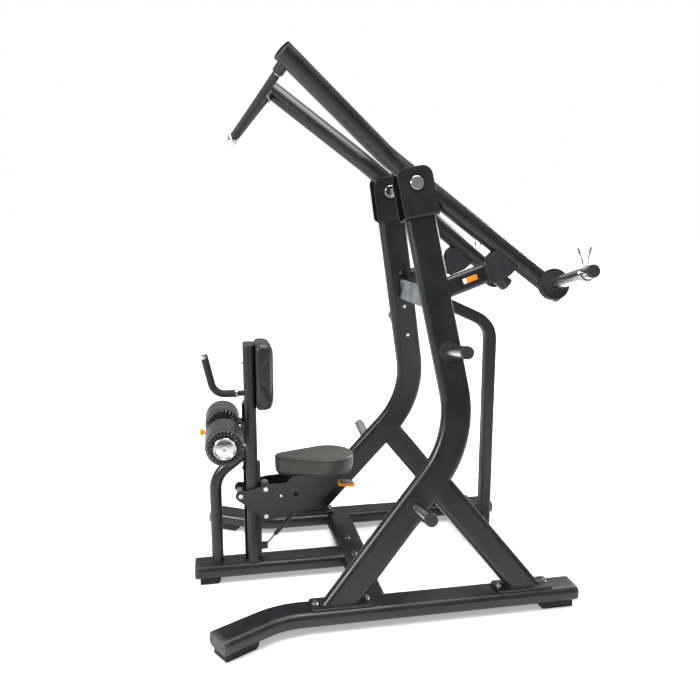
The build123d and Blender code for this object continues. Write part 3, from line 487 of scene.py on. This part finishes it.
def makeRoller(side, look=roller):
    low, high = [np.array(corner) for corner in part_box(f"knee_roller_{side}")]
    way = -1.0 if side == "left" else 1.0
    middle, half = (low + high) / 2, (high[1] - low[1]) / 2 / mm
    big = (high[2] - low[2]) / 2 / mm
    # end profile as (distance in from the end, radius, pleat depth)
    end = [(6.5, 13.0, 0), (6.0, 30.0, 0), (5.0, 43.0, 0.1), (3.0, 47.0, 0.55), (1.2, 52.0, 1.0), (0.3, 58.0, 1.0)]
    end += [(0.9, big - 12, 0.95), (3.0, big - 7, 0.8), (7.0, big - 3.2, 0.55), (12.0, big - 1.2, 0.28)]
    end += [(18.0, big - 0.3, 0.1), (26.0, big, 0)]
    end = rounded(np.array(end), 3.0, 3)
    body = [(t, big - 0.5 * sin(pi * t / (2 * half)) ** 2, 0) for t in np.linspace(40, 2 * half - 40, 12)]
    other = end[::-1] * np.array([-1, 1, 1]) + np.array([2 * half, 0, 0])
    profile = np.concatenate([end, body, other])
    d, r, depth = profile.T
    t = np.linspace(0, 2 * pi, look["samples"], endpoint=False)
    # folds: a narrow valley every turn / pleats, wandering a little round the rim
    fold = (0.5 + 0.5 * np.cos(look["pleats"] * t + 0.5 * np.sin(3 * t) + 0.3 * np.sin(7 * t + 1))) ** 2.2
    push = look["depth"] * depth[:, None] * fold[None, :]
    inward = np.where(d < half, 1.0, -1.0)
    y = (d[:, None] + inward[:, None] * push - half) * mm
    radius = (r[:, None] - 0.35 * push) * mm
    x = middle[0] + radius * np.cos(t)
    z = middle[2] + radius * np.sin(t)
    points = np.stack([x, middle[1] + y, z], axis=-1)
    stands = (f"knee_roller_{side}",)
    sleeve = [grid(points, closeV=True)]
    piece = meshPiece(f"kneeRoller.{side}", sleeve, vinyl, f"roller_{side}", 80, stands)
    # dish: rolled rim, groove, shallow dome and a punched centre
    rim = look["dish"]
    dome = [(2.2 + 5.4 * (1 - (a / 36.0) ** 2), a) for a in (36, 32, 27, 21, 15, 9)]
    dish = [(0.2, 0), (0.2, rim - 1), (1.5, rim), (5.0, rim), (7.4, rim - 1.8), (7.9, rim - 4)]
    dish += [(6.0, rim - 6.5), (2.6, rim - 8)] + dome + [(7.0, 6), (4.8, 3.5), (4.2, 0)]
    outer = (middle[0], middle[1] + way * half * mm, middle[2])
    parts = [lathe(rounded(dish, 1.4, 3) * mm, outer, (0, way, 0), 96)]
    stem = [(-2 * half - 1, 0), (-2 * half - 1, 12.5), (-1, 12.5), (-1, 0)]
    parts.append(lathe(np.array(stem) * mm, outer, (0, way, 0), 32))
    return parts, way


hardware = []
carriageLow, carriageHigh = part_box("roller_carriage")
for side in ("left", "right"):
    parts, way = makeRoller(side)
    hardware += parts
    # domed button screws on both faces of the carriage's back plate
    button = rounded([(-0.5, 0), (-0.5, 7), (1.2, 7), (3.4, 5), (3.9, 2.6), (1.8, 2.4), (1.8, 0)], 0.8, 3) * mm
    for z in (carriageLow[2] + 14 * mm, carriageHigh[2] - 17 * mm):
        backPlate = carriageHigh[0] - 18 * mm
        hardware.append(lathe(button, (backPlate, way * 34 * mm, z), (0, way, 0), 24))
meshPiece("rollerHardware", hardware, chrome, "rollers", 40, ("roller_axles",))
print("knee rollers made")


# pull knob: mushroom on its pin

def makeKnob():
    low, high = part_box("pull_knob")
    centre = (high[0], (low[1] + high[1]) / 2, (low[2] + high[2]) / 2)
    length = (high[0] - low[0]) / mm
    profile = [(0, 0), (0, 9), (2, 10.5), (length * 0.34, 9.5), (length * 0.48, 14.5), (length * 0.6, 16)]
    profile += [(length * 0.82, 16), (length - 1, 12), (length, 7), (length - 0.4, 0)]
    knob = [lathe(rounded(profile, 1.6, 4) * mm, centre, (-1, 0, 0), 48)]
    meshPiece("pullKnob", knob, orange, "pull_pin", 50, ("pull_knob",))


makeKnob()


# seat release: orange paddle with a grey pad let into its top

def makePaddle():
    low, high = [np.array(corner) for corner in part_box("release_grip")]
    centre = (low + high) / 2
    halfX, halfY, halfZ = (high - low) / 2
    up, along, across = np.array([0.16, 0, 0.987]), np.array([0.987, 0, -0.16]), np.array([0, 1.0, 0])
    rings = [(0, -0.95), (0.80, -0.95), (0.93, -0.8), (0.985, -0.4), (1.0, 0.12)]
    rings += [(0.97, 0.34), (0.88, 0.40), (0, 0.40)]
    rings = [(share, height * halfZ) for share, height in rings]
    body = slab(centre, along, across, up, halfX, halfY, rings, 4.2)
    meshPiece("releasePaddle", [body], orange, "release", 50, ("release_grip",))
    inset = [(0, 0.38), (0.88, 0.38), (0.90, 0.66), (0.84, 0.86), (0.6, 0.96), (0, 1.0)]
    inset = [(share, height * halfZ) for share, height in inset]
    top = slab(centre + along * halfX * 0.2, along, across, up, halfX * 0.78, halfY * 0.92, inset, 3.4)
    meshPiece("releasePad", [top], greyPlastic, "release", 50)


makePaddle()
print("knob and paddle made")


# handles: a bowed rubber grip with a chrome collar above and a chrome knob below

handle = {"radius": 15.5, "bow": 22.0, "knob": 19.0, "collar": 18.5}


def makeHandle(side, look=handle):
    # the grip's ends are those of the CAD grip, found along its longest direction
    points = meshPoints(f"handle_grip_{side}")
    middle = points.mean(axis=0)
    axis = np.linalg.svd(points - middle, full_matrices=False)[2][0]
    axis *= -np.sign(axis[2])
    along = (points - middle) @ axis
    top = points[along < along.min() + 1 * mm].mean(axis=0)
    end = points[along > along.max() - 1 * mm].mean(axis=0)
    t = np.linspace(0, 1, 40)[:, None]
    inward = np.array([0, 1.0 if side == "left" else -1.0, 0])
    # straight line plus bow * 4 t (1 - t), towards the middle of the machine
    path = top + (end - top) * t + inward * look["bow"] * 4 * t * (1 - t) * mm
    size = np.full(len(path), look["radius"] * mm)
    size[[0, -1]] *= 0.93
    grip = [tubeAlong(path, size, sides=40, hint=(1, 0, 0))]
    meshPiece(f"handleGrip.{side}", grip, gripFoam, f"lever_{side}", 50, (f"handle_grip_{side}",))
    knob = [(-2, 0), (-2, 14), (0, look["knob"]), (9, look["knob"]), (13.5, look["knob"] - 4), (14, 0)]
    collar = [(-9, 0), (-9, 15), (-8, look["collar"]), (1, look["collar"]), (3, 15), (3, 0)]
    parts = [lathe(rounded(knob, 1.5, 3) * mm, end, axis, 40)]
    parts.append(lathe(rounded(collar, 1.0, 2) * mm, top, axis, 40))
    meshPiece(f"handleEnds.{side}", parts, chrome, f"lever_{side}", 45, (f"handle_bar_{side}",))


makeHandle("left")
makeHandle("right")
print("handles bowed")


# spring clips: one wire, three turns round the horn and two crossed legs with burnished ends

clip = {
    # left horn's base in metres, then millimetres; legs are (up, across) from the end of the coil
    "base": (0.686, -0.268007, 1.278625), "length": 338.0, "place": 0.87, "wire": 2.7, "turns": 3, "width": 15.0,
    "inside": 25.6, "start": (5, 6), "knee": (25, 8), "tip": (42, 14), "bend": 14, "grip": 4.3, "gripEnd": 3.3,
}


def makeClip(side, look=clip):
    out = np.array(joints[f"clip_{side}_slide"]["axis"], float)
    base = np.array(look["base"]) * np.array([1, 1 if side == "left" else -1, 1])
    middle = base + out * look["length"] * look["place"] * mm
    across = np.array([1.0, 0, 0])
    up = np.cross(across, out)
    up *= np.sign(up[2]) / np.linalg.norm(up)
    radius = (look["inside"] + look["wire"]) * mm
    t = np.linspace(0, 2 * pi * look["turns"], 40 * look["turns"])
    # helix: out * pitch * t + radius * (up cos t + across sin t)
    shift = (t / t[-1] - 0.5) * look["width"] * mm
    coil = middle + shift[:, None] * out + radius * (np.cos(t)[:, None] * up + np.sin(t)[:, None] * across)
    legs = []
    for way, start in ((-1, coil[0]), (1, coil[-1])):
        lift, knee, tip = [(up * u + across * way * a) * mm for u, a in (look["start"], look["knee"], look["tip"])]
        legs.append(rounded([start, start + lift, start + knee, start + knee + tip], look["bend"] * mm, 6))
    wire = np.concatenate([legs[0][::-1][:-1], coil, legs[1][1:]])
    parts = [tubeAlong(resample(wire, 2 * mm, closed=False), look["wire"] * mm, sides=12, hint=out)]
    meshPiece(f"springClip.{side}", parts, chrome, f"clip_{side}", 60, (f"spring_clip_{side}",))
    grips = []
    for leg in legs:
        reach = resample(leg, 1.5 * mm, closed=False)[-17:]
        size = np.full(len(reach), look["grip"] * mm)
        size[[0, -1]] = look["gripEnd"] * mm
        grips.append(tubeAlong(reach, size, sides=14, hint=out))
    meshPiece(f"clipGrips.{side}", grips, dulled, f"clip_{side}", 50)


makeClip("left")
makeClip("right")
print("spring clips wound")


# screws in the rail caps, and the film on the left stop arm

capScrew = {"halfLength": 0.76, "rail": 0.455, "bend": -0.436, "toe": 0.274, "splay": 30, "apart": 0.038, "up": 0.058}


def makeCapScrews(look=capScrew):
    # two sunk screws in each rail cap, left and right of its middle; the front toes splay outwards
    angle, end, rail = radians(look["splay"]), look["halfLength"], look["rail"]
    places = [((-end, 0.0), (-1, 0)), ((end, -rail), (1, 0)), ((end, rail), (1, 0))]
    for way in (-1, 1):
        tip = (look["bend"] - look["toe"] * cos(angle), way * (rail + look["toe"] * sin(angle)))
        places.append((tip, (-cos(angle), way * sin(angle))))
    head = rounded([(-2, 0), (-2, 4.6), (0.5, 4.6), (1.0, 3.6), (0.2, 1.8), (-0.6, 0)], 0.5, 3) * mm
    parts = []
    for (x, y), (dx, dy) in places:
        for shift in (-look["apart"], look["apart"]):
            parts.append(lathe(head, (x - dy * shift, y + dx * shift, look["up"]), (dx, dy, 0), 20))
    # the heads are near-black, painted shade of the sunk bores
    meshPiece("capScrews", parts, paintedBoreShade, "frame", 40)


makeCapScrews()

label = {
    # place is the share of the arm's length where the film starts; x and z are the arm's ends
    "place": 0.516, "length": 62.0, "height": 21.0, "white": 15.0, "x": (195.0, 424.0), "z": (1256.0, 1336.0),
    "lean": 9, "rail": 455.0, "plateTop": 98.0, "armHalf": 25.0,
}


def makeLabel(look=label):
    # a plain film on the arm's outer face: a short white end and a longer orange field
    lean = radians(look["lean"])
    out = np.array([0, -cos(lean), sin(lean)])
    up = np.array([0, sin(lean), cos(lean)])
    half = look["rail"] + look["plateTop"] * tan(lean)
    ends = [np.array([x, z * tan(lean) - half, z]) * mm for x, z in zip(look["x"], look["z"])]
    along = (ends[1] - ends[0]) / np.linalg.norm(ends[1] - ends[0])
    square = np.cross(out, along)
    square *= np.sign(square @ up)
    origin = ends[0] + (ends[1] - ends[0]) * look["place"] + out * look["armHalf"] * mm
    for name, material, slot, start, length in (
        ("labelWhite", whiteFilm, "badge_grey", 0.0, look["white"]),
        ("labelOrange", orange, "orange_plastic", look["white"], look["length"] - look["white"]),
    ):
        centre = origin + along * (start + length / 2) * mm
        rings = [(a, b * mm) for a, b in ((0, -0.4), (1, -0.4), (1, 0.25), (0.985, 0.35), (0, 0.35))]
        film = slab(centre, along, square, out, length / 2 * mm, look["height"] / 2 * mm, rings, 16.0)
        meshPiece(name, [film], material, "frame", 50)


makeLabel()
print("label and screws set")


# upholstery: a closed shell is blown up a little as cloth, then its seams are laid on the skin

swell = {"voxel": 5.0, "pressure": 4.0, "frames": 20}


def blowUp(piece, cap, held, look=swell):
    # remeshed copy inflated by Cloth, no point moving further than the cap, held points staying still
    remesh = piece.modifiers.new("voxels", "REMESH")
    remesh.mode = "VOXEL"
    remesh.voxel_size = look["voxel"] * mm
    remesh.use_smooth_shade = True
    settle(piece)
    start = np.empty(len(piece.data.vertices) * 3)
    piece.data.vertices.foreach_get("co", start)
    start = start.reshape(-1, 3)
    group = piece.vertex_groups.new(name="held")
    group.add([int(i) for i in np.flatnonzero(held(start))], 1.0, "REPLACE")
    cloth = piece.modifiers.new("swell", "CLOTH")
    cloth.settings.quality = 6
    cloth.settings.mass = 0.25
    cloth.settings.use_pressure = True
    cloth.settings.uniform_pressure_force = look["pressure"]
    cloth.settings.vertex_group_mass = "held"
    cloth.settings.effector_weights.gravity = 0.0
    cloth.collision_settings.use_collision = False
    cloth.point_cache.frame_start = 1
    cloth.point_cache.frame_end = look["frames"]
    scene = bpy.context.scene
    for moment in range(1, look["frames"] + 1):
        scene.frame_set(moment)
    settle(piece)
    scene.frame_set(1)
    end = np.empty_like(start).reshape(-1)
    piece.data.vertices.foreach_get("co", end)
    move = end.reshape(-1, 3) - start
    far = np.linalg.norm(move, axis=1, keepdims=True)
    move *= np.minimum(1.0, cap * mm / np.maximum(far, 1e-9))
    piece.data.vertices.foreach_set("co", (start + move).reshape(-1))
    piece.vertex_groups.clear()
    for face in piece.data.polygons:
        face.use_smooth = True
    finer = piece.modifiers.new("smooth skin", "SUBSURF")
    finer.levels = finer.render_levels = 1


def settle(piece):
    # the piece takes the mesh that its modifiers give, and the modifiers go
    graph = bpy.context.evaluated_depsgraph_get()
    mesh = bpy.data.meshes.new_from_object(piece.evaluated_get(graph))
    old = piece.data
    piece.modifiers.clear()
    piece.data = mesh
    bpy.data.meshes.remove(old)


def skinOf(piece):
    graph = bpy.context.evaluated_depsgraph_get()
    return BVHTree.FromObject(piece, graph)


def seam(skin, line, radius, sink):
    # a corded seam: each point of the line moved to the nearest skin, then sunk a little
    laid = []
    for point in resample(line, 2.5 * mm):
        place, normal, _, _ = skin.find_nearest(Vector(point))
        laid.append(np.array(place) - np.array(normal) * sink)
    laid = np.array(laid)
    laid[-1] = laid[0]
    return tubeAlong(laid, radius, sides=10, hint=(0.13, 0.21, 0.97))


def twoCircles(nose, tail, step=3.0):
    # outline of two circles joined by their outer tangents, and the spine point that each point shrinks to
    a = np.linspace(0, 2 * pi, 720, endpoint=False)
    normal = np.stack([np.cos(a), np.sin(a)], axis=1)
    reach = [normal @ np.array([x, 0.0]) + r for x, r in (nose, tail)]
    pick = (reach[1] > reach[0])[:, None]
    round1, round2 = [np.array([x, 0.0]) + r * normal for x, r in (nose, tail)]
    edge = np.where(pick, round2, round1)
    edge = resample(edge, step)[:-1]
    share = np.clip((edge[:, :1] - nose[0]) / (tail[0] - nose[0]), 0, 1)
    spine = np.hstack([nose[0] + share * (tail[0] - nose[0]), 0 * share])
    return edge, spine


seatPad = {"nose": (-362.0, 47.5), "tail": (-180.0, 113.0), "cap": 6.0, "seamDrop": 9.0, "tuck": 6.0, "crown": 5.0}


def makeSeatPad(look=seatPad):
    low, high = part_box("seat_pad")
    bottom, top = low[2] / mm, high[2] / mm + look["crown"]
    edge, spine = twoCircles(look["nose"], look["tail"])
    # rings from the middle of the underside, round the tucked side band and over the crowned top
    band = [(0.0, 0.5), (0.5, 0.5), (0.86, 0.5), (0.915, 2), (0.945, 7), (0.972, 18), (0.99, 32)]
    band += [(1.0, 46), (1.0, 56)]
    over = [(0.995, 10.5), (0.975, 7.5), (0.93, 5.0), (0.8, 2.6), (0.55, 2.0), (0.3, 2.0), (0.0, 2.0)]
    rings = [(share, bottom + rise) for share, rise in band] + [(share, top - drop) for share, drop in over]
    share, height = rounded(np.array(rings), 2.0, 2).T
    flat = spine[None] + (edge - spine)[None] * share[:, None, None]
    z = np.broadcast_to(height[:, None, None], flat.shape[:2] + (1,))
    cover = [grid(np.concatenate([flat, z], axis=-1) * mm, closeV=True)]
    # the cover wears the paler seat vinyl, a painted sheen
    piece = meshPiece("seatPad", cover, vinylPaintedSheen, "seat", 180, ("seat_pad",))
    blowUp(piece, look["cap"], lambda p: (p[:, 2] < (bottom + 3) * mm) | (p[:, 2] > (top - 6) * mm))
    skin = skinOf(piece)
    parts = []
    # share of the outline, height and radius: one seam under the top, one above the tucked edge
    for share, height, size in ((1.02, top - look["seamDrop"], 1.7), (0.955, bottom + look["tuck"], 1.1)):
        line = np.hstack([spine + (edge - spine) * share, np.full((len(edge), 1), height)]) * mm
        parts.append(seam(skin, line, size * mm, 0.5 * mm))
    meshPiece("seatSeams", parts, vinyl, "seat", 80)


chestPad = {"corner": 36.0, "cap": 6.0, "seam": 9.0}


def makeChestPad(look=chestPad):
    low, high = [np.array(corner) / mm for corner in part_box("chest_pad")]
    halfY, halfZ = (high[1] - low[1]) / 2 - 2.5, (high[2] - low[2]) / 2 - 2.5
    middle = (low[2] + high[2]) / 2
    corner = look["corner"]
    outline = []
    for a in np.linspace(0, 2 * pi, 4, endpoint=False) + pi / 4:
        turn = np.linspace(a - pi / 4, a + pi / 4, 12)
        centre = np.array([np.sign(np.cos(a)) * (halfY - corner), np.sign(np.sin(a)) * (halfZ - corner)])
        outline.append(centre + corner * np.stack([np.cos(turn), np.sin(turn)], axis=1))
    edge = resample(np.concatenate(outline), 3.0)[:-1]
    inner = halfZ - halfY
    spine = np.stack([0 * edge[:, 0], np.clip(edge[:, 1], -inner, inner)], axis=1)
    back, front = low[0], high[0]
    # rings from the middle of the back, round the side band and over the padded front
    behind = [(0, 0.6), (0.6, 0.6), (0.9, 0.6), (0.965, 2.5), (0.985, look["seam"]), (1.0, 20)]
    before = [(1.0, 28), (0.985, 17), (0.94, 9), (0.86, 4.5), (0.7, 3), (0.4, 2.4), (0, 2.2)]
    rings = [(share, back + rise) for share, rise in behind] + [(share, front - drop) for share, drop in before]
    share, depth = rounded(np.array(rings, float), 3.0, 2).T
    flat = spine[None] + (edge - spine)[None] * share[:, None, None]
    x = np.broadcast_to(depth[:, None, None], flat.shape[:2] + (1,))
    points = np.concatenate([x, flat + np.array([0.0, middle])], axis=-1) * mm
    piece = meshPiece("chestPad", [grid(points, closeV=True)], vinyl, "frame", 180, ("chest_pad",))
    blowUp(piece, look["cap"], lambda p: p[:, 0] < (back + 4) * mm)
    skin = skinOf(piece)
    depth = np.full((len(edge), 1), back + look["seam"] + 3)
    line = np.hstack([depth, edge * 1.02 + np.array([0.0, middle])]) * mm
    meshPiece("chestSeam", [seam(skin, line, 1.5 * mm, 0.6 * mm)], vinyl, "frame", 80)


makeSeatPad()
print("seat pad upholstered")
makeChestPad()
print("chest pad upholstered")


# studio: white paper floor, a room that is white to the camera and shaded in reflections, three softboxes

studio = {
    # metres and degrees; fill is the floor's own glow by the machine, which reaches white over the fade distances
    "camera": (-0.653, -2.9576, 1.525), "turn": 10.945, "tip": 9.997, "roll": -0.06, "lens": 36.87,
    "floor": 60.0, "horizon": 0.1, "zenith": 0.75, "fill": 0.35, "fade": (1.3, 2.8),
}


def makeStudio(look=studio):
    scene = bpy.context.scene
    camera = bpy.data.objects.new("camera", bpy.data.cameras.new("camera"))
    scene.collection.objects.link(camera)
    camera.location = look["camera"]
    camera.rotation_euler = (radians(90 - look["tip"]), radians(look["roll"]), radians(-look["turn"]))
    camera.data.lens = look["lens"]
    camera.data.sensor_width = 36.0
    camera.data.clip_end = 200.0
    scene.camera = camera
    scene.view_settings.view_transform = "Standard"
    scene.view_settings.look = "None"

    world = bpy.data.worlds.new("studio")
    scene.world = world
    world.use_nodes = True
    sky = world.node_tree
    sky.nodes.clear()
    white = addNode(sky, "Background", {"Color": (1.0, 1.0, 1.0, 1.0), "Strength": 1.0})
    coords = addNode(sky, "TexCoord")
    split = addNode(sky, "SeparateXYZ", None, {"Vector": (coords, "Generated")})
    glow = mapRange(sky, split, "Z", look["horizon"], look["zenith"], -0.05, 0.9)
    room = addNode(sky, "Background", {"Color": (1.0, 1.0, 1.0, 1.0)}, {"Strength": (glow, "Result")})
    path = addNode(sky, "LightPath")
    choice = {0: (path, "Is Camera Ray"), 1: (room, "Background"), 2: (white, "Background")}
    seen = addNode(sky, "MixShader", None, choice)
    addNode(sky, "OutputWorld", None, {"Surface": (seen, "Shader")})

    half = look["floor"]
    floorMesh = bpy.data.meshes.new("floor")
    corners = [(-half, -half, 0), (half, -half, 0), (half, half, 0), (-half, half, 0)]
    floorMesh.from_pydata(corners, [], [(0, 1, 2, 3)])
    floor = bpy.data.objects.new("floor", floorMesh)
    scene.collection.objects.link(floor)
    sweep, tree, shader, coords = newMaterial("studio paper", {
        "Roughness": 0.9, "Specular IOR Level": 0.1, "Emission Color": (1.0, 1.0, 1.0, 1.0),
    })
    fibre = addNode(tree, "TexNoise", {"Scale": 3.0, "Detail": 3.0}, {"Vector": (coords, "Object")})
    tone = ramp(tree, fibre, "Fac", [(0.0, "#f2f2f2"), (1.0, "#fafafa")])
    tree.links.new(tone.outputs["Color"], shader.inputs["Base Color"])
    # the paper fades to plain white away from the machine, for the camera only
    reach = addNode(tree, "VectorMath", {"operation": "LENGTH"}, {0: (coords, "Object")})
    fade = mapRange(tree, reach, "Value", look["fill"], 1.1, *look["fade"])
    path = addNode(tree, "LightPath")
    glow = {0: (fade, "Result"), 1: (path, "Is Camera Ray")}
    backlight = addNode(tree, "Math", {"operation": "MULTIPLY"}, glow)
    tree.links.new(backlight.outputs["Value"], shader.inputs["Emission Strength"])
    floorMesh.materials.append(sweep)

    lights = [
        # name, place, aims at, size, watts
        ("key softbox", (-3.4, -1.2, 2.6), (-0.1, 0.0, 1.0), 1.4, 150.0),
        ("top softbox", (0.3, -0.6, 4.4), (0.0, 0.0, 0.8), 2.4, 150.0),
        ("rear softbox", (3.2, 1.6, 2.4), (0.3, 0.0, 1.0), 1.5, 120.0),
    ]
    for name, place, aim, size, watts in lights:
        lamp = bpy.data.lights.new(name, "AREA")
        lamp.size = size
        lamp.energy = watts
        holder = bpy.data.objects.new(name, lamp)
        holder.location = place
        holder.rotation_euler = (Vector(aim) - Vector(place)).to_track_quat("-Z", "Y").to_euler()
        scene.collection.objects.link(holder)


makeStudio()
print("studio made")
